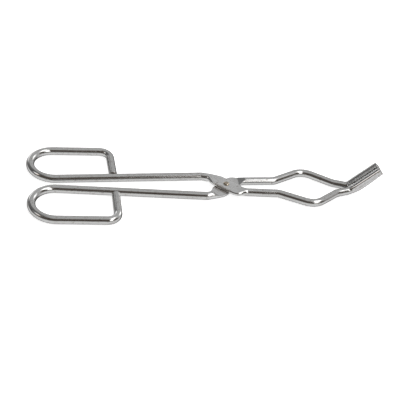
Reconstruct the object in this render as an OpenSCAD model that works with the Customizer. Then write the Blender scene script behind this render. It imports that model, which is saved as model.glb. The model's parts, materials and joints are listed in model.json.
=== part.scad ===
// Crucible tongs: two bent rod arms that cross in a half lap and turn on one rivet.
// Millimetres. +X runs from the finger loops to the tips, +Z is up, and the tongs lie on z = 0.
// Every length along X below is measured from the rivet's axis.

/* [Overall] */
// Length over everything
overall_l = 200; // [190:1:210]
// Diameter of the rod
rod_d = 4.5; // [4:0.1:5]
// Distance from the rivet to the outer end of the finger loops
handle_reach = 109.8; // [106:0.1:114]

/* [Finger loops] */
// Width of a loop, between the middles of its two long sides
loop_w = 26.6; // [24:0.1:30]
// Middle of the shank above the centre line, at the loop's round end
shank_y = 3.7; // [3.5:0.1:6]
// Distance from the rivet to the loop's cross leg
leg_x = 63.1; // [58:0.1:68]
// Radius of the bend between the loop's outer side and its leg
leg_bend_r = 6; // [4:0.1:8]

/* [Lap joint] */
// Thickness of a pressed flat
flat_t = 1.85; // [1.5:0.05:2]
// Width of a pressed flat
flat_w = 9; // [8:0.1:9.2]
// Length of the touching flat from the rivet towards the handle
flat_back_l = 11.4; // [11:0.1:12]
// Length of the touching flat from the rivet towards the jaw
flat_front_l = 11; // [10.5:0.1:11.5]
// Gap between the two flats
lap_gap = 0.1; // [0.06:0.02:0.2]

/* [Rivet] */
// Diameter of the rivet's shank
rivet_d = 2.4; // [2:0.1:2.6]
// Diameter of the rivet's heads
head_d = 3.5; // [3.2:0.1:4]
// Height of the domed upper head
head_h = 0.8; // [0.4:0.05:0.8]
// Height of the flat lower head
foot_h = 0.3; // [0.2:0.05:0.3]
// Radial clearance of the rivet in the lower arm
rivet_play = 0.05; // [0.03:0.01:0.1]

/* [Jaws] */
// Farthest middle of the bow from the centre line
bow_y = 15.6; // [14:0.1:17]
// Slope of the tips above the table
tip_angle = 45; // [40:1:50]
// Slant of the tips' cut ends
end_slant = 5; // [0:1:15]
// Gap between the closed tips
tip_gap = 0.3; // [0.2:0.05:0.4]
// Height of the gripping face, across the tip
grip_w = 3.8; // [3.4:0.1:4]
// Pitch of the teeth
tooth_pitch = 1.5; // [1.2:0.1:2]
// Depth of the teeth
tooth_depth = 0.4; // [0.2:0.05:0.5]

/* [Hidden] */
$fn = 64;
rod_r = rod_d / 2;
rod_sides = 20;
bend_step = 7.5;
pivot_x = handle_reach - overall_l / 2;
loop_r = loop_w / 2;
loop_x = rod_r - handle_reach;
tip_y = -rod_r;
tip_end_x = overall_l - handle_reach - rod_r * sin(tip_angle);
tip_foot_x = 73.6;
tip_l = (tip_end_x - tip_foot_x) / cos(tip_angle);
tip_rise = tip_l * sin(tip_angle);

// Corners of the upper arm's centre line and the radius of the bend at each, seen from the
// leg's cut end to the tip. The handle lies at +Y and the jaw at -Y.
shank_corner = [-9.8, 9.1, 0];
jaw_corner = [5.7, -4.85, 0];
shank_bend_r = 9;
jaw_bend_r = 7;
leg_end = [-leg_x + 0.4, 8.5, 0];
corners = [
    [[-leg_x, shank_y + loop_w + 0.5, 0], leg_bend_r],
    [[loop_x, shank_y + loop_w, 0], loop_r - 0.4],
    [[loop_x, shank_y, 0], loop_r - 0.4],
    [shank_corner, shank_bend_r],
    [jaw_corner, jaw_bend_r],
    [[29.6, -5.8, 0], 6.6],
    [[48.9, -bow_y, 0], 10.2],
    [[64.9, -4.8, 0], 8.6],
    [[tip_foot_x, tip_y, 0], 5]
];
tip_end = [tip_end_x, tip_y, tip_rise];

function unit(v) = v / norm(v);
// Distance from a corner to where its bend begins
function setback(before, at, after, r) =
    let (c = unit(before - at) * unit(after - at)) r * sqrt((1 + c) / (1 - c));

// Places and headings along the centre line: its two ends, and a fan of them round each bend
function fan(before, at, after, r) =
    let (
        back = unit(before - at),
        turn = 180 - acos(back * unit(after - at)),
        out = unit(at + back * setback(before, at, after, r)
            - at - unit(back + unit(after - at)) * r / cos(turn / 2)),
        middle = at + back * setback(before, at, after, r) - out * r,
        count = ceil(turn / bend_step)
    )
    [for (k = [0 : count]) let (q = turn * k / count)
        [middle + r * (cos(q) * out - sin(q) * back), -sin(q) * out - cos(q) * back]];
stops = concat([leg_end], [for (c = corners) c[0]], [tip_end]);
last = len(stops) - 1;
stations = concat(
    [[stops[0], unit(stops[1] - stops[0])]],
    [for (i = [1 : last - 1]) each fan(stops[i - 1], stops[i], stops[i + 1], corners[i - 1][1])],
    [[stops[last], unit(stops[last] - stops[last - 1])]]
);
// Points round the rod at one of those places
function ring(station) =
    let (side = unit([-station[1][1], station[1][0], 0]), up = cross(station[1], side))
    [for (k = [0 : rod_sides - 1])
        station[0] + rod_r * (cos(360 * k / rod_sides) * side + sin(360 * k / rod_sides) * up)];

// Headings of the lap's straight stretch and of the shank and jaw beyond its bends, then how far
// from the point nearest the rivet each bend begins
lap_dir = unit(jaw_corner - shank_corner);
shank_dir = unit(shank_corner - corners[2][0]);
jaw_dir = unit(corners[5][0] - jaw_corner);
lap_tilt = atan2(lap_dir[1], lap_dir[0]);
shank_turn = atan2(shank_dir[1], shank_dir[0]) - lap_tilt;
jaw_turn = atan2(jaw_dir[1], jaw_dir[0]) - lap_tilt;
lap_mid = shank_corner - lap_dir * (shank_corner * lap_dir);
shank_s = norm(shank_corner - lap_mid) - setback(corners[2][0], shank_corner, jaw_corner, shank_bend_r);
jaw_s = norm(jaw_corner - lap_mid) - setback(shank_corner, jaw_corner, corners[5][0], jaw_bend_r);
shank_l = shank_bend_r * shank_turn * PI / 180;
jaw_l = jaw_bend_r * jaw_turn * PI / 180;

// Heading and place of the lap's centre line at a distance s from the rivet
function share(s, start, length) = min(max((s - start) / length, 0), 1);
function heading(s) =
    lap_tilt + shank_turn * share(-s, shank_s, shank_l) + jaw_turn * share(s, jaw_s, jaw_l);
function round_off(s, r) = r * [sin(heading(s)) - sin(lap_tilt), cos(lap_tilt) - cos(heading(s)), 0];
function along(s) = lap_mid + lap_dir * min(max(s, -shank_s), jaw_s)
    + (s > 0 ? round_off(s, jaw_bend_r) : -round_off(s, shank_bend_r))
    + jaw_dir * max(s - jaw_s - jaw_l, 0) - shank_dir * max(-s - shank_s - shank_l, 0);
// Points beside that line, on its left for a positive w
function beside(s, w) = [along(s)[0] - w * sin(heading(s)), along(s)[1] + w * cos(heading(s))];
// Half width of the pressed metal, swelling from inside the rod to the full flat
root_w = 1.2;
root_l = 0.4;
function half_w(s) =
    let (end = root_l + (s > 0 ? flat_front_l : flat_back_l), t = min((end - abs(s)) / (end * 0.6), 1))
    root_w + (flat_w / 2 - root_w) * (1 - cos(180 * t)) / 2;
// Distances along the lap, from a little beyond one end of its touching flat to the other
lap_steps = 36;
function lap_s(over) = [for (k = [0 : lap_steps])
    (flat_front_l + flat_back_l + 2 * over) * k / lap_steps - flat_back_l - over];

// The whole bent rod, before anything is pressed: one skin over a ring at each station
module bent_rod() {
    rings = len(stations);
    ends = [[for (k = [1 : rod_sides]) k - 1], [for (k = [1 : rod_sides]) rings * rod_sides - k]];
    skin = [for (i = [1 : rings - 1], k = [0 : rod_sides - 1])
        let (here = i * rod_sides, back = here - rod_sides, next = (k + 1) % rod_sides)
        each [[back + k, here + k, here + next], [back + k, here + next, back + next]]];
    polyhedron(points = [for (s = stations) each ring(s)], faces = concat(ends, skin));
}

// Block over the pressed stretch, between two heights
module lap_zone(low, high) {
    wide = 6;
    translate([0, 0, low]) linear_extrude(height = high - low)
        polygon(concat([for (s = lap_s(0)) beside(s, wide)],
            [for (k = [lap_steps : -1 : 0]) beside(lap_s(0)[k], -wide)]));
}

// Pressed flat, above the gap at the middle plane
module lap_flat() {
    stops = lap_s(root_l);
    translate([0, 0, lap_gap / 2]) linear_extrude(height = flat_t - lap_gap / 2)
        polygon(concat([for (s = stops) beside(s, half_w(s))],
            [for (k = [lap_steps : -1 : 0]) beside(stops[k], -half_w(stops[k]))]));
}

// Stands children on the tip's foot, with X along the tip and Y across the grip
module at_tip() {
    translate([tip_foot_x, 0, 0]) rotate([0, -tip_angle, 0]) children();
}

// Squared inner half of the tip, which carries the grip
module tip_block() {
    start = 2.6;
    at_tip() translate([start, tip_y, -grip_w / 2]) cube([tip_l - start, rod_r, grip_w]);
}

// Everything beyond the gripping plane and the slanted end, and the teeth
module grip_cut() {
    reach = 60;
    first = 3.4;
    count = floor((tip_l - first - 1) / tooth_pitch);
    half = 0.45 * tooth_pitch;
    lean = tan(end_slant);
    translate([reach, -tip_gap / 2, -rod_d]) cube([reach, rod_d, 2 * reach]);
    at_tip() for (k = [0 : count])
        translate([first + k * tooth_pitch, -tip_gap / 2, -rod_d])
            linear_extrude(height = 2 * rod_d)
                polygon([[-half * 1.25, 0.25 * tooth_depth], [half * 1.25, 0.25 * tooth_depth],
                    [0, -tooth_depth]]);
    at_tip() rotate([90, 0, 0]) linear_extrude(height = 4 * rod_d, center = true)
        polygon([[tip_l + rod_r * lean, -2 * rod_r], [tip_l - 3 * rod_r * lean, 2 * rod_r],
            [tip_l + rod_d, 2 * rod_r], [tip_l + rod_d, -2 * rod_r]]);
}

// One arm with its handle at +Y. press is 1 when its flat is above the middle plane.
module arm(press, bore_r) {
    translate([pivot_x, 0, rod_r]) difference() {
        union() {
            difference() {
                bent_rod();
                mirror([0, 0, press > 0 ? 0 : 1]) {
                    lap_zone(-rod_d, lap_gap / 2);
                    lap_zone(flat_t, rod_d);
                }
            }
            mirror([0, 0, press > 0 ? 0 : 1]) lap_flat();
            tip_block();
        }
        grip_cut();
        translate([0, 0, -rod_d]) cylinder(h = 2 * rod_d, r = bore_r);
    }
}

module arm_upper() {
    color("gainsboro") arm(1, rivet_d / 2);
}

module arm_lower() {
    color("silver") mirror([0, 1, 0]) arm(-1, rivet_d / 2 + rivet_play);
}

// Rivet: peened tight in the upper arm, with a dome above and a thin flat foot below
module rivet() {
    dome_r = (head_d * head_d / 4 + head_h * head_h) / (2 * head_h);
    foot_z = -flat_t - lap_gap / 2;
    color("darkgray") translate([pivot_x, 0, rod_r]) {
        translate([0, 0, foot_z]) cylinder(h = flat_t - foot_z, r = rivet_d / 2);
        translate([0, 0, foot_z - foot_h]) cylinder(h = foot_h, r = head_d / 2);
        intersection() {
            translate([0, 0, flat_t + head_h - dome_r]) sphere(r = dome_r);
            translate([0, 0, flat_t]) cylinder(h = head_h * 2, r = head_d);
        }
    }
}

arm_upper();
arm_lower();
rivet();
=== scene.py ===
import json
import math
from collections import namedtuple

import bpy
import numpy as np
from mathutils import Matrix, Vector


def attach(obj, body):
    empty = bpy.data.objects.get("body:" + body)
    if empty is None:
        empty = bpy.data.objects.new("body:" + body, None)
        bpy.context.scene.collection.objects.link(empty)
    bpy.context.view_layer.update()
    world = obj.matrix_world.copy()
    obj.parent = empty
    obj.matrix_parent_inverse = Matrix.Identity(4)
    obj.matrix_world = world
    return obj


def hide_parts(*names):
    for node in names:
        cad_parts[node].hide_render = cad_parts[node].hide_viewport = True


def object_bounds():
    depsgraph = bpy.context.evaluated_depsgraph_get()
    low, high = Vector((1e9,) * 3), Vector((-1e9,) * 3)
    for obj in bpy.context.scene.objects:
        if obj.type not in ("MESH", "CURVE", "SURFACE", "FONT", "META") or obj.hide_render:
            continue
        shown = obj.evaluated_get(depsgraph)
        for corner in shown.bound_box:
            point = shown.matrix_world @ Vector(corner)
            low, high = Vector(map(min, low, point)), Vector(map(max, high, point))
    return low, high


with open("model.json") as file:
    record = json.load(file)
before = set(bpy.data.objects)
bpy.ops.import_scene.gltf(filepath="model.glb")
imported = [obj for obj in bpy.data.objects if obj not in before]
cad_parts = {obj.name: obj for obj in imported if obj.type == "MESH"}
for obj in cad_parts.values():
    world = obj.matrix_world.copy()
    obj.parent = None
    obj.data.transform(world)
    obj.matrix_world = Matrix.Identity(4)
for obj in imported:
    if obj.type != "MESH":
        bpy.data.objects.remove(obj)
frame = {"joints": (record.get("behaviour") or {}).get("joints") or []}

cad_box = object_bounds()

# The arms are laid out in millimetres from the rivet's axis and the rods' middle plane, with the
# handle of an arm at +Y, its jaw at -Y and the flat above the middle plane. That is the upper arm.
# The lower arm is the same arm turned half way round the X axis, but for its tips, which bend up too.
MM = 0.001
PIVOT = Vector(frame["joints"][0]["pos_m"])
LOOP_END = (cad_box[0].x - PIVOT.x) / MM
TIP_END = (cad_box[1].x - PIVOT.x) / MM
ROD_R = PIVOT.z / MM

# Finger loops
LOOP_W = 26.6
SHANK_Y = 3.7
LEG_X = -63.1

# Lap joint
FLAT_T = 1.85
FLAT_HALF_W = 4.65
LAP_GAP = 0.1
LAP_EDGE = 0.16
PRESS_FADE = 3
LAP_REACH = 16.5
# Distances from the rivet, towards the handle and towards the jaw, where the shoulder rises from
# the touching flat to the rod, where the outer flat runs out and where the width narrows
SHOULDER = ((9.9, 13.0), (9.4, 13.2))
RUN_OUT = ((6.5, 15.5), (7.8, 9.4))
NARROWING = ((5.0, 13.5), (6.5, 12.5))

# Rivet
RIVET_R = 1.2
HEAD_R = 1.72
HEAD_H = 0.8
FOOT_H = 0.3
# How many times finer the wear is on the rivet than on the rods
GRAIN_ON_PIN = 3.0

# Tips
TIP_FOOT = 73.6
TIP_SLOPE = math.radians(45)
TIP_GAP = 0.3
TOOTH_PITCH = 1.5
TOOTH_DEPTH = 0.42
END_SLANT = math.radians(5)
SLANT_FADE = 3
# The gripping plane cuts the rod, and the rings lie close, from this far before the tip's foot
GRIP_LEAD = 6
FINE_LEAD = 4
# Distances along the tip over which its toothed face and its squared outside come in
FACE_START = 0.2
FACE_FADE = 1.6
SQUARE_FADE = 6
# The squared outside. A circle has power 2, and these are added to it above and below
POWER_ABOVE, POWER_BELOW = 1.6, 3
TRIM_ABOVE, DEPTH_BELOW = 0.05, 0.3
# From this share of the tip on, the depth below fades by more than all of it
DEPTH_FADES_FROM = 0.5
DEPTH_FADE = 1.1
# How far the inner corner may reach out past the outline, and how wide the arch on top is
CORNER_REACH = 1.7
ARCH = 0.6
# The facet's lean in degrees, its height in rod radii and what each gains or loses when squared
FACET_LEAN, FACET_LEAN_GAIN = 8, 14
FACET_HEIGHT, FACET_HEIGHT_LOSS = 0.86, 0.2
FACET_GROOVE = 0.7
# How far out the facet and the face start before they come in, and how rounded their edges are
FACET_START_OUT, FACE_START_OUT = 1.5, 0.5
FACET_EDGE, FACE_EDGE = 0.2, 0.1

# Skins. An end ring's share of the rod's outline, its depth in the rod and how far it is cut steel
END_RINGS = ((1.0, 0.22, 0.0), (0.955, 0.06, 0.5), (0.9, 0.0, 1.0), (0.5, -0.02, 1.0))
SHARP_ANGLE = math.radians(32)
TURNED_SEGMENTS = 96
HALVINGS = 30
DOME_ROWS = 12
# A radius outside every rod, and the least number to divide by or to stop at
BEYOND = 99
TINY = 1e-6
SIDES = 72
STEP = 1.0
FINE_STEP = 0.25
BEND_STEP = math.radians(3)

Bend = namedtuple("Bend", "middle out back radius turn")
Line = namedtuple("Line", "start way length")


def unit(v):
    return v / np.linalg.norm(v)


def smooth(t):
    t = np.clip(t, 0, 1)
    return t * t * (3 - 2 * t)


def blunt_min(a, b, width):
    """The smaller of two radii, with the corner between them rounded off."""
    near = np.maximum(width - np.abs(a - b), 0) / width
    return np.minimum(a, b) - near * near * width / 4


def route(start, corners, end):
    """Straights and round bends through the corners, in order."""
    stops = [np.array(p, float) for p in [start, *[c for c, _ in corners], end]]
    parts, at = [], stops[0]
    for before, corner, after, (_, radius) in zip(stops, stops[1:], stops[2:], corners):
        back, on = unit(before - corner), unit(after - corner)
        turn = math.pi - math.acos(back @ on)
        setback = radius * math.tan(turn / 2)
        first = corner + back * setback
        middle = corner + unit(back + on) * radius / math.cos(turn / 2)
        parts.append(Line(at, unit(first - at), np.linalg.norm(first - at)))
        parts.append(Bend(middle, unit(first - middle), back, radius, turn))
        at = corner + on * setback
    parts.append(Line(at, unit(stops[-1] - at), np.linalg.norm(stops[-1] - at)))
    return parts


def stations(parts, is_fine):
    """Places and headings along the route, closer together where is_fine says so."""
    places = []
    for part in parts:
        if isinstance(part, Line):
            at = 0.0
            while at < part.length - TINY:
                here = part.start + part.way * at
                places.append((here, part.way))
                at += FINE_STEP if is_fine(here) else STEP
        else:
            count = math.ceil(part.turn / BEND_STEP)
            if is_fine(part.middle + part.out * part.radius):
                count = math.ceil(part.turn * part.radius / FINE_STEP)
            for k in range(count):
                q = part.turn * k / count
                here = part.middle + part.radius * (math.cos(q) * part.out - math.sin(q) * part.back)
                places.append((here, -math.sin(q) * part.out - math.cos(q) * part.back))
    last = parts[-1]
    places.append((last.start + last.way * last.length, last.way))
    return places


TIP_Y = -ROD_R
TIP_REACH = (TIP_END - ROD_R * math.sin(TIP_SLOPE) - TIP_FOOT) / math.cos(TIP_SLOPE)
TIP_LENGTH = TIP_REACH - ROD_R * math.tan(END_SLANT)
TIP_BEND = 5
TIP_WAY = np.array([math.cos(TIP_SLOPE), 0, math.sin(TIP_SLOPE)])
TIP_START = np.array([TIP_FOOT, TIP_Y, 0])
LOOP_R = LOOP_W / 2 - 0.4
LOOP_X = LOOP_END + ROD_R
CORNERS = [
    ((LEG_X, SHANK_Y + LOOP_W + 0.5, 0), 6),
    ((LOOP_X, SHANK_Y + LOOP_W, 0), LOOP_R),
    ((LOOP_X, SHANK_Y, 0), LOOP_R),
    ((-9.8, 9.1, 0), 9),
    ((5.7, -4.85, 0), 7),
    ((29.6, -5.8, 0), 6.6),
    ((48.9, -15.6, 0), 10.2),
    ((64.9, -4.8, 0), 8.6),
    (tuple(TIP_START), TIP_BEND),
]
LEG_END = (LEG_X + 0.4, 8.5, 0)


def lap_section(reach, to_jaw, ring):
    """The pressed section at a distance from the rivet: a swollen rod between two flats."""
    foot, crest = SHOULDER[int(to_jaw)]
    fade_start, fade_end = RUN_OUT[int(to_jaw)]
    wide_end, round_start = NARROWING[int(to_jaw)]
    low = -ROD_R + (ROD_R + LAP_GAP / 2) * np.clip((crest - reach) / (crest - foot), -0.1, 1)
    top = FLAT_T + (ROD_R - FLAT_T + 0.2) * smooth((reach - fade_start) / (fade_end - fade_start))
    swell = smooth((round_start - reach) / (round_start - wide_end))
    wide = ROD_R + (FLAT_HALF_W - ROD_R) * swell
    power = 2 + 1.8 * swell
    middle = (max(low, -ROD_R) + min(top, ROD_R)) / 2
    half = (min(top, ROD_R) - max(low, -ROD_R)) / 2
    way = np.stack([wide * np.cos(ring), half * np.sin(ring)], 1)
    way /= np.linalg.norm(way, axis=1)[:, None]
    across, rise = way[:, 0], way[:, 1]
    # Each ray meets the swollen rod's superellipse where halving the interval closes in.
    inside, outside = np.zeros(len(ring)), np.full(len(ring), 2.0 * FLAT_HALF_W)
    for _ in range(HALVINGS):
        r = (inside + outside) / 2
        over = np.abs(across * r / wide) ** power + np.abs((rise * r + middle) / ROD_R) ** power > 1
        inside, outside = np.where(over, inside, r), np.where(over, r, outside)
    up = np.where(rise > TINY, (top - middle) / np.maximum(rise, TINY), BEYOND)
    down = np.where(rise < -TINY, (middle - low) / np.maximum(-rise, TINY), BEYOND)
    r = blunt_min(blunt_min(inside, up, LAP_EDGE), down, LAP_EDGE)
    return np.stack([across * r, rise * r + middle], 1)


def tooth(along):
    """Depth of the grip's teeth at a distance along the tip."""
    first = TIP_BEND * math.tan(TIP_SLOPE / 2)
    from_groove = abs(((along - first) / TOOTH_PITCH + 0.5) % 1 - 0.5) * TOOTH_PITCH
    return TOOTH_DEPTH * max(1 - from_groove / (0.4 * TOOTH_PITCH), 0)


def tip_section(along, ring):
    """The tip's section: squared outside, toothed inside, with a grooved facet along its top."""
    faced = float(smooth((along - FACE_START) / FACE_FADE))
    squared = float(smooth(along / SQUARE_FADE))
    groove = tooth(along)
    side, rise = np.cos(ring), np.sin(ring)
    # The outside is a superellipse, deeper below than above, and less so over the last half.
    late = smooth((along / TIP_LENGTH - DEPTH_FADES_FROM) / DEPTH_FADES_FROM)
    deep = squared * (1 - DEPTH_FADE * float(late))
    tall = np.where(rise > 0, 1 - TRIM_ABOVE * squared, 1 + DEPTH_BELOW * deep)
    power = 2 + squared * np.where(rise > 0, POWER_ABOVE, POWER_BELOW)
    outer = ROD_R / (np.abs(side) ** power + np.abs(rise / tall) ** power) ** (1 / power)
    # The inner half fills out to a square, and the top stays under a low arch.
    square = np.where(side > 0, ROD_R * tall / np.maximum(np.abs(rise), TINY), BEYOND)
    corner = np.minimum(square, CORNER_REACH * outer)
    r = np.where(side > 0, outer + (corner - outer) * faced, outer)
    r = np.where(rise > 0, np.minimum(r, ROD_R / np.sqrt(side**2 * ARCH + rise**2)), r)
    # The facet leans in towards the other tip.
    lean = math.radians(FACET_LEAN + FACET_LEAN_GAIN * squared)
    facing = np.array([math.sin(lean), math.cos(lean)])
    toward = side * facing[0] + rise * facing[1]
    crest = [ROD_R, ROD_R * (FACET_HEIGHT - FACET_HEIGHT_LOSS * squared)]
    height = facing @ crest - FACET_GROOVE * groove * faced
    facet = np.where(toward > TINY, height / np.maximum(toward, TINY), BEYOND)
    r = blunt_min(r, facet + (1 - faced) * FACET_START_OUT, FACET_EDGE)
    depth = ROD_R - TIP_GAP / 2 - groove * faced
    face = np.where(side > TINY, depth / np.maximum(side, TINY), BEYOND)
    r = blunt_min(r, face + (1 - faced) * FACE_START_OUT, FACE_EDGE)
    return np.stack([side * r, rise * r], 1)


def arm_mesh(upper):
    """One bent, pressed and toothed rod as a skin over rings along its route."""
    ring = np.arange(SIDES) * 2 * math.pi / SIDES
    round_rod = ROD_R * np.stack([np.cos(ring), np.sin(ring)], 1)

    def is_fine(p):
        return abs(p[0]) < LAP_REACH or p[0] > TIP_FOOT - FINE_LEAD

    places = stations(route(LEG_END, CORNERS, tuple(TIP_START + TIP_WAY * TIP_LENGTH)), is_fine)
    rings, notes = [], []
    travelled = 0.0
    for k, (here, way) in enumerate(places):
        if k:
            travelled += np.linalg.norm(here - places[k - 1][0])
        side = unit(np.array([-way[1], way[0], 0]))
        up = np.cross(way, side)
        reach = math.hypot(here[0], here[1]) if abs(here[0]) < LAP_REACH else BEYOND
        along = (here - TIP_START) @ TIP_WAY
        on_tip = here[0] > TIP_FOOT and along > 0
        if reach < LAP_REACH:
            section = lap_section(reach, here[0] > 0, ring)
            if not upper:
                section = section[-np.arange(SIDES) % SIDES] * [1, -1]
        elif on_tip:
            section = tip_section(along, ring)
        else:
            section = round_rod
        slanted = smooth((along - TIP_LENGTH + SLANT_FADE) / SLANT_FADE) if on_tip else 0
        slant = slanted * math.tan(END_SLANT)
        shift = -section[:, 1] * slant
        points = here + section[:, :1] * side + section[:, 1:] * up + shift[:, None] * way
        if here[0] > TIP_FOOT - GRIP_LEAD:
            points[:, 1] = np.minimum(points[:, 1], -TIP_GAP / 2)
        rings.append(points)
        pressed = float(smooth((RUN_OUT[int(here[0] > 0)][1] - reach) / PRESS_FADE))
        notes.append((travelled, pressed, 1.0 if on_tip else 0.0))
    return rings, notes, ring


def new_piece(name, points, faces, grain, marks):
    """A smooth object from points in metres, with the notes that the materials read."""
    mesh = bpy.data.meshes.new(name)
    mesh.from_pydata(points, [], faces)
    mesh.polygons.foreach_set("use_smooth", [True] * len(mesh.polygons))
    for kind, values in (("grain", grain), ("marks", marks)):
        attribute = mesh.attributes.new(kind, "FLOAT_VECTOR", "POINT")
        attribute.data.foreach_set("vector", values)
    mesh.set_sharp_from_angle(angle=SHARP_ANGLE)
    piece = bpy.data.objects.new(name, mesh)
    bpy.context.scene.collection.objects.link(piece)
    return piece


def end_rings(edge, inward):
    """The rings of a bevelled flat end, from its outline to its middle."""
    middle = edge.mean(0)
    return [middle + (edge - middle) * share + inward * depth for share, depth, _ in END_RINGS]


def skin(name, rings, notes, ring, mirrored):
    """Faces over the rings, with bevelled flat ends and the notes that the materials read."""
    start_in = unit(rings[3].mean(0) - rings[0].mean(0))
    end_in = unit(rings[-4].mean(0) - rings[-1].mean(0))
    all_rings = end_rings(rings[0], start_in)[::-1] + rings[1:-1] + end_rings(rings[-1], end_in)
    bevel = [cut for _, _, cut in END_RINGS]
    cuts = bevel[::-1] + [0.0] * (len(rings) - 2) + bevel
    all_notes = [notes[0]] * len(bevel) + notes[1:-1] + [notes[-1]] * len(bevel)
    grain, marks = [], []
    for (travelled, pressed, tip), cut in zip(all_notes, cuts):
        for angle in ring:
            grain += [travelled, math.cos(angle) * ROD_R, math.sin(angle) * ROD_R]
            marks += [pressed, tip, cut]
    n = len(ring)
    faces = []
    for i in range(1, len(all_rings)):
        for k in range(n):
            a, b = (i - 1) * n + k, (i - 1) * n + (k + 1) % n
            faces.append((a, b, b + n, a + n))
    faces.append(tuple(range(n))[::-1])
    faces.append(tuple(range((len(all_rings) - 1) * n, len(all_rings) * n)))
    points = np.concatenate(all_rings)
    if mirrored:
        points = points * [1, -1, 1]
        faces = [f[::-1] for f in faces]
    points = points * MM + np.array(PIVOT)
    piece = new_piece(name, points.tolist(), faces, grain, marks)
    weighted = piece.modifiers.new("weighted", "WEIGHTED_NORMAL")
    weighted.keep_sharp = True
    weighted.weight = 60
    return piece


def turned(name, profile):
    """A solid of revolution about the rivet's axis from (radius, height) pairs, closed on the axis."""
    n = TURNED_SEGMENTS
    points, faces = [], []
    for r, z in profile[1:-1]:
        for k in range(n):
            a = 2 * math.pi * k / n
            points.append((r * math.cos(a), r * math.sin(a), z))
    rows = len(profile) - 2
    points += [(0, 0, profile[0][1]), (0, 0, profile[-1][1])]
    low, high = len(points) - 2, len(points) - 1
    for k in range(n):
        j = (k + 1) % n
        faces.append((low, j, k))
        for i in range(1, rows):
            a, b = (i - 1) * n + k, (i - 1) * n + j
            faces.append((a, b, b + n, a + n))
        faces.append((high, (rows - 1) * n + k, (rows - 1) * n + j))
    grain = [GRAIN_ON_PIN * value for p in points for value in p]
    placed = [tuple(Vector(p) * MM + PIVOT) for p in points]
    return new_piece(name, placed, faces, grain, [0.0] * len(grain))


def rivet_profile():
    """Lower foot, shank and domed head, from the bottom to the top."""
    foot_z = -FLAT_T - LAP_GAP / 2
    foot_end = foot_z - FOOT_H
    profile = [(0, foot_end), (0.6 * HEAD_R, foot_end), (HEAD_R - 0.12, foot_end + 0.03)]
    profile += [(HEAD_R, foot_end + 0.14), (HEAD_R, foot_z - 0.02), (HEAD_R - 0.05, foot_z)]
    profile += [(RIVET_R, foot_z + 0.01), (RIVET_R, FLAT_T - 0.01)]
    rim = 0.05
    profile += [(HEAD_R - rim, FLAT_T), (HEAD_R, FLAT_T + rim)]
    for k in range(1, DOME_ROWS + 1):
        q = math.pi / 2 * k / DOME_ROWS
        r = HEAD_R * math.cos(q) ** 0.8 if k < DOME_ROWS else 0
        profile.append((r, FLAT_T + rim + (HEAD_H - rim) * math.sin(q)))
    return profile


# ---------------------------------------------------------------------------- camera
# The tongs lie in the middle of the frame, seen from the front left and above.
AZIMUTH, ELEVATION, ROLL = (math.radians(a) for a in (-16.52, 37.36, 10.82))
DISTANCE = 0.461
TARGET = Vector((-0.0054, -0.0166, PIVOT.z))
level = math.cos(ELEVATION)
back = Vector((math.sin(AZIMUTH) * level, -math.cos(AZIMUTH) * level, math.sin(ELEVATION)))
right = Vector((math.cos(AZIMUTH), math.sin(AZIMUTH), 0))
above = back.cross(right)
camera_data = bpy.data.cameras.new("camera")
camera_data.lens = 74.7
camera_data.sensor_width = 36
camera = bpy.data.objects.new("camera", camera_data)
turned_right = math.cos(ROLL) * right + math.sin(ROLL) * above
turned_above = -math.sin(ROLL) * right + math.cos(ROLL) * above
facing = Matrix((turned_right, turned_above, back)).transposed().to_4x4()
camera.matrix_world = Matrix.Translation(TARGET + back * DISTANCE) @ facing
bpy.context.scene.collection.objects.link(camera)
bpy.context.scene.camera = camera


# ---------------------------------------------------------------------------- materials
class Graph:
    """Adds nodes to one node tree and joins them up."""

    def __init__(self, tree):
        self.nodes, self.links = tree.nodes, tree.links

    def plug(self, value, socket):
        if isinstance(value, bpy.types.NodeSocket):
            self.links.new(value, socket)
        else:
            socket.default_value = value

    def maths(self, operation, a, b):
        node = self.nodes.new("ShaderNodeMath")
        node.operation = operation
        self.plug(a, node.inputs[0])
        self.plug(b, node.inputs[1])
        return node.outputs[0]

    def times(self, a, b):
        return self.maths("MULTIPLY", a, b)

    def flipped(self, value):
        return self.maths("SUBTRACT", 1, value)

    def ranged(self, value, low, high, out_low=0.0, out_high=1.0, interpolation="LINEAR"):
        node = self.nodes.new("ShaderNodeMapRange")
        node.interpolation_type = interpolation
        self.plug(value, node.inputs["Value"])
        limits = {"From Min": low, "From Max": high, "To Min": out_low, "To Max": out_high}
        for key, number in limits.items():
            node.inputs[key].default_value = number
        return node.outputs["Result"]

    def blend(self, share, a, b):
        return self._mix("FLOAT", share, a, b, 2, 0)

    def blend_colour(self, share, a, b):
        return self._mix("RGBA", share, a, b, 6, 2)

    # The Mix node has separate sockets for numbers and for colours.
    def _mix(self, data_type, share, a, b, first_input, output):
        node = self.nodes.new("ShaderNodeMix")
        node.data_type = data_type
        self.plug(share, node.inputs[0])
        self.plug(a, node.inputs[first_input])
        self.plug(b, node.inputs[first_input + 1])
        return node.outputs[output]

    def attribute(self, name):
        node = self.nodes.new("ShaderNodeAttribute")
        node.attribute_name = name
        return node.outputs["Vector"]

    def parts(self, vector):
        node = self.nodes.new("ShaderNodeSeparateXYZ")
        self.plug(vector, node.inputs[0])
        return node.outputs

    def noise(self, vector, stretch, scale, detail):
        place = self.nodes.new("ShaderNodeVectorMath")
        place.operation = "MULTIPLY"
        self.plug(vector, place.inputs[0])
        place.inputs[1].default_value = stretch
        node = self.nodes.new("ShaderNodeTexNoise")
        self.plug(place.outputs[0], node.inputs["Vector"])
        node.inputs["Scale"].default_value = scale
        node.inputs["Detail"].default_value = detail
        return node.outputs["Fac"]


def material(name):
    made = bpy.data.materials.new(name)
    made.use_nodes = True
    return made, Graph(made.node_tree), made.node_tree.nodes["Principled BSDF"].inputs


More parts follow.
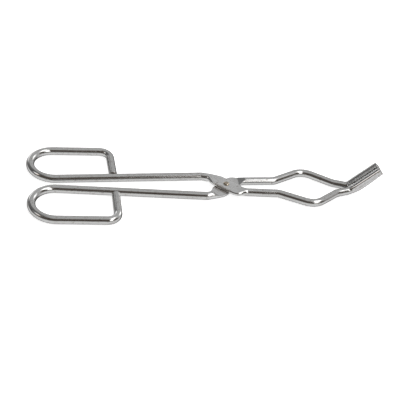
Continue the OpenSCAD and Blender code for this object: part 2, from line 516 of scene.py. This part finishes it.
# Plating: clean and worn tones, brown for stains and for the painted shade on the handle's cut end,
# pale for the painted sheen on the pressed flats, and roughness.
Plating = namedtuple("Plating", "clean worn brown pale roughness")
ROD_PLATING = Plating(
    clean=(0.64, 0.64, 0.635, 1),
    worn=(0.58, 0.58, 0.575, 1),
    brown=(0.2, 0.15, 0.11, 1),
    pale=(0.8, 0.8, 0.8, 1),
    roughness=0.13,
)
PIN_PLATING = Plating(
    clean=(0.56, 0.5, 0.42, 1),
    worn=(0.4, 0.33, 0.25, 1),
    brown=(0.14, 0.1, 0.07, 1),
    pale=(0.6, 0.55, 0.5, 1),
    roughness=0.2,
)
CUT_ROUGHNESS = 0.42
DENT_DEPTH = 0.00003


def steel(name, plating):
    """Worn plated steel: streaks along the rod, dull flats and cuts, brown stains, a painted sheen on
    the flats and painted shade on the handle's cut end.
    """
    made, graph, sockets = material(name)
    grain = graph.attribute("grain")
    pressed, tip, cut = graph.parts(graph.attribute("marks"))
    # The stretch is small along the rod, so the streaks run along it.
    streaks = graph.noise(grain, (0.05, 1.6, 1.6), 1.0, 2.0)
    fine_streaks = graph.noise(grain, (0.12, 3.6, 3.6), 1.0, 2.0)
    patches = graph.noise(grain, (0.5, 1.1, 1.1), 0.9, 5.0)
    specks = graph.noise(grain, (0.9, 1.8, 1.8), 1.0, 2.0)
    dents = graph.noise(grain, (0.16, 0.5, 0.5), 1.0, 1.0)

    rough = graph.ranged(streaks, 0.3, 0.7, plating.roughness - 0.05, plating.roughness + 0.09)
    rough = graph.blend(pressed, rough, graph.ranged(fine_streaks, 0.35, 0.65, 0.16, 0.34))
    graph.plug(graph.blend(cut, rough, CUT_ROUGHNESS), sockets["Roughness"])

    tone = graph.blend_colour(graph.ranged(streaks, 0.35, 0.65), plating.clean, plating.worn)
    # The pressed flats are painted paler in streaks, a painted sheen.
    painted_sheen = graph.times(pressed, graph.ranged(streaks, 0.3, 0.7, 0.25, 0.85))
    tone = graph.blend_colour(painted_sheen, tone, plating.pale)
    stain = graph.times(graph.ranged(patches, 0.5, 0.68), graph.ranged(specks, 0.42, 0.66))
    tone = graph.blend_colour(graph.times(stain, 0.5), tone, plating.brown)
    # The handle's cut end, which butts against the shank, is painted dark brown as painted shade for
    # that gap, and the tip's end is not.
    painted_gap_shade = graph.times(cut, graph.ranged(tip, 0, 1, 0.7, 0))
    graph.plug(graph.blend_colour(painted_gap_shade, tone, plating.brown), sockets["Base Color"])
    sockets["Metallic"].default_value = 1

    bump = graph.nodes.new("ShaderNodeBump")
    bump.inputs["Strength"].default_value = 1
    bump.inputs["Distance"].default_value = DENT_DEPTH
    graph.plug(graph.blend(graph.times(pressed, 0.03), dents, fine_streaks), bump.inputs["Height"])
    graph.plug(bump.outputs[0], sockets["Normal"])
    return made


arm_steel = steel("arm_steel", ROD_PLATING)
rivet_steel = steel("rivet_steel", PIN_PLATING)

# ---------------------------------------------------------------------------- pieces
for node, body, upper in (("arm_upper", "upper_arm", True), ("arm_lower", "lower_arm", False)):
    rings, notes, ring = arm_mesh(upper)
    piece = skin(node + "_rod", rings, notes, ring, not upper)
    piece.data.materials.append(arm_steel)
    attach(piece, body)
    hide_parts(node)

pin = turned("pivot_rivet", rivet_profile())
pin.data.materials.append(rivet_steel)
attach(pin, "upper_arm")
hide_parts("rivet")

# ---------------------------------------------------------------------------- floor and light
FLOOR_HALF = 6
FLOOR_DROP = 0.0001
floor_mesh = bpy.data.meshes.new("floor")
floor_corners = [(x * FLOOR_HALF, y * FLOOR_HALF, 0) for x, y in ((-1, -1), (1, -1), (1, 1), (-1, 1))]
floor_mesh.from_pydata(floor_corners, [], [(0, 1, 2, 3)])
floor = bpy.data.objects.new("floor", floor_mesh)
bpy.context.scene.collection.objects.link(floor)
floor.location.z = -FLOOR_DROP
floor_paint, _, sockets = material("floor_paint")
sockets["Base Color"].default_value = (0.8, 0.8, 0.8, 1)
sockets["Roughness"].default_value = 0.9
sockets["Specular IOR Level"].default_value = 0.1
sockets["Emission Color"].default_value = (1, 1, 1, 1)
sockets["Emission Strength"].default_value = 0.75
floor_mesh.materials.append(floor_paint)
floor.visible_glossy = False

world = bpy.data.worlds.new("studio")
world.use_nodes = True
bpy.context.scene.world = world
sky = Graph(world.node_tree)
direction = sky.nodes.new("ShaderNodeTexCoord").outputs["Generated"]
east, north, rise = sky.parts(direction)


def step_up(value, low, high):
    """0 below low, 1 above high and smooth between."""
    return sky.ranged(value, low, high, interpolation="SMOOTHSTEP")


def toward(way, inner, outer):
    """1 within the inner angle of a direction, 0 beyond the outer one, in degrees."""
    node = sky.nodes.new("ShaderNodeVectorMath")
    node.operation = "DOT_PRODUCT"
    sky.plug(direction, node.inputs[0])
    node.inputs[1].default_value = Vector(way).normalized()
    low, high = (math.cos(math.radians(angle)) for angle in (outer, inner))
    return step_up(node.outputs["Value"], low, high)


# The steel mirrors this room and not the floor or the lamp. Strengths are radiances.
WALL, LEFT_WALL, DARK = 0.55, 0.16, 0.1
GROUND, FAR_GROUND, FAR_RIGHT_GROUND = 0.88, 0.36, 0.14
BACKDROP = 0.95
STRIP_LIGHT = 2.4
# Direction, inner and outer angle, strength: at the left, far right, far horizon and far left
ROUND_LIGHTS = (
    ((-0.79, -0.08, 0.6), 8, 14, 1.4),
    ((0.69, 0.5, 0.4), 8, 16, 1.6),
    ((-0.15, 0.98, 0.0), 9, 20, 0.6),
    ((-0.375, 0.895, 0.247), 7, 13, 1.0),
)

# It is dark in front, where the camera stands, from near the horizon to near the top, and at the
# left.
in_front = step_up(sky.times(north, -1), 0.0, 0.25)
below_top = sky.flipped(step_up(rise, 0.86, 0.95))
dark = sky.times(sky.times(in_front, step_up(rise, 0.06, 0.2)), below_top)
room = sky.blend(sky.flipped(step_up(east, -0.45, -0.12)), WALL, LEFT_WALL)
room = sky.blend(toward((-0.9, -0.3, 0.35), 25, 50), room, DARK)
room = sky.blend(dark, room, DARK)
# The pale ground below the horizon darkens towards the far side, most of all at the far right.
ground = sky.blend(toward((0.2, 0.8, -0.57), 35, 80), GROUND, FAR_GROUND)
ground = sky.blend(toward((0.5, 0.75, -0.35), 20, 42), ground, FAR_RIGHT_GROUND)
room = sky.blend(step_up(rise, -0.04, 0.08), ground, room)
# A strip light hangs at the right, from the front to just past overhead.
strip = sky.times(step_up(east, 0.305, 0.345), sky.flipped(step_up(east, 0.58, 0.66)))
strip = sky.times(strip, step_up(rise, 0.3, 0.42))
strip = sky.times(strip, sky.flipped(step_up(north, 0.0, 0.3)))
room = sky.maths("ADD", room, sky.times(strip, STRIP_LIGHT))
for way, inner, outer, strength in ROUND_LIGHTS:
    room = sky.maths("ADD", room, sky.times(toward(way, inner, outer), strength))
# The dark front is warm. The camera itself sees none of this room but a plain pale backdrop.
seen = sky.nodes.new("ShaderNodeLightPath").outputs["Is Camera Ray"]
warm = sky.times(dark, sky.times(sky.flipped(strip), sky.flipped(seen)))
background = sky.nodes["Background"]
sky.plug(sky.blend(seen, room, BACKDROP), background.inputs["Strength"])
sky.plug(sky.blend_colour(warm, (1, 1, 1, 1), (1, 0.87, 0.76, 1)), background.inputs["Color"])

# A lamp overhead lights the floor and is not mirrored in the steel.
lamp_data = bpy.data.lights.new("overhead", "AREA")
lamp_data.shape = "DISK"
lamp_data.size = 1.2
lamp_data.energy = 3.5
lamp = bpy.data.objects.new("overhead", lamp_data)
lamp.location = Vector((0.1, 0.1, 1)).normalized()
lamp.rotation_mode = "QUATERNION"
lamp.rotation_quaternion = lamp.location.to_track_quat("Z", "Y")
lamp.visible_glossy = False
bpy.context.scene.collection.objects.link(lamp)

bpy.context.scene.view_settings.view_transform = "Standard"
